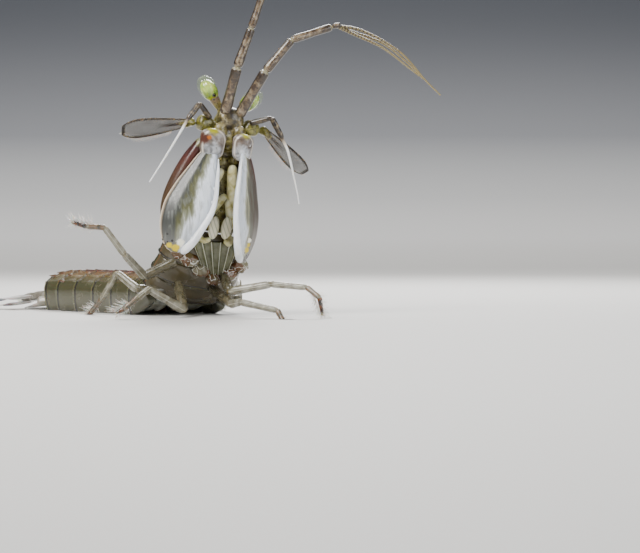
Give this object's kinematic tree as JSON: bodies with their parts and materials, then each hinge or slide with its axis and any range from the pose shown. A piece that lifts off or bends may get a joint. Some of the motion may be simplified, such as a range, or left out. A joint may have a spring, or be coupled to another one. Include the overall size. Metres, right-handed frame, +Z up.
{
  "type": "mantis shrimp",
  "caption": "Life-size still mantis shrimp rearing up with its raptorial claws folded on its chest, eyes and feelers raised, and its banded abdomen and tail fan flat on the floor behind.",
  "frame": {"origin": "on the floor, at the middle of the flat bar under the second abdominal somite", "axes": "+Z up, -Y the side that the upright chest shows its underside to, +X the animal's left"},
  "size_m": [0.1056, 0.0785, 0.0962],
  "materials": {
    "carapace_shell": "thin glossy shell, grey-tan with dark lengthwise keels",
    "banded_shell": "olive-brown shell plates, maroon middle, ochre flanks, thin black hind edge",
    "tail_fan": "grey-brown and blue-violet shell with white teeth",
    "flesh": "moist translucent cream and yellow-green flesh",
    "cornea": "wet lime-green eye with a clear rim",
    "feeler": "tan and brown banded feelers",
    "clear_scale": "translucent grey scale with a dark dotted outline",
    "brown_limb": "reddish-brown translucent shell with a maroon front end",
    "pearly_claw": "pearly silver-white shell with a white inner ridge",
    "cream_limb": "cream translucent limbs with small dark spots at the joints"
  },
  "bodies": {
    "root": {"carapace": "carapace_shell", "rostral_plate": "carapace_shell", "head_and_mouth": "flesh", "telson": "tail_fan", "thorax_5": "banded_shell", "thorax_6": "banded_shell", "thorax_7": "banded_shell", "thorax_8": "banded_shell", "abdomen_1": "banded_shell", "abdomen_2": "banded_shell", "abdomen_3": "banded_shell", "abdomen_4": "banded_shell", "abdomen_5": "banded_shell", "abdomen_6": "banded_shell", "uropod_base_left": "tail_fan", "uropod_exopod_left": "tail_fan", "uropod_paddle_left": "tail_fan", "uropod_endopod_left": "tail_fan", "eye_stalk_left": "flesh", "eye_left": "cornea", "antennule_left": "feeler", "antennule_whips_left": "feeler", "antenna_base_left": "flesh", "antenna_scale_left": "clear_scale", "antenna_left": "feeler", "claw_merus_left": "brown_limb", "claw_wrist_left": "brown_limb", "claw_blade_left": "pearly_claw", "claw_finger_left": "pearly_claw", "maxilliped_1_left": "cream_limb", "maxilliped_3_left": "cream_limb", "maxilliped_4_left": "cream_limb", "maxilliped_5_left": "cream_limb", "leg_1_left": "cream_limb", "leg_2_left": "cream_limb", "leg_3_left": "cream_limb", "uropod_base_right": "tail_fan", "uropod_exopod_right": "tail_fan", "uropod_paddle_right": "tail_fan", "uropod_endopod_right": "tail_fan", "eye_stalk_right": "flesh", "eye_right": "cornea", "antennule_right": "feeler", "antennule_whips_right": "feeler", "antenna_base_right": "flesh", "antenna_scale_right": "clear_scale", "antenna_right": "feeler", "claw_merus_right": "brown_limb", "claw_wrist_right": "brown_limb", "claw_blade_right": "pearly_claw", "claw_finger_right": "pearly_claw", "maxilliped_1_right": "cream_limb", "maxilliped_3_right": "cream_limb", "maxilliped_4_right": "cream_limb", "maxilliped_5_right": "cream_limb", "leg_1_right": "cream_limb", "leg_2_right": "cream_limb", "leg_3_right": "cream_limb"}
  },
  "joints": []
}
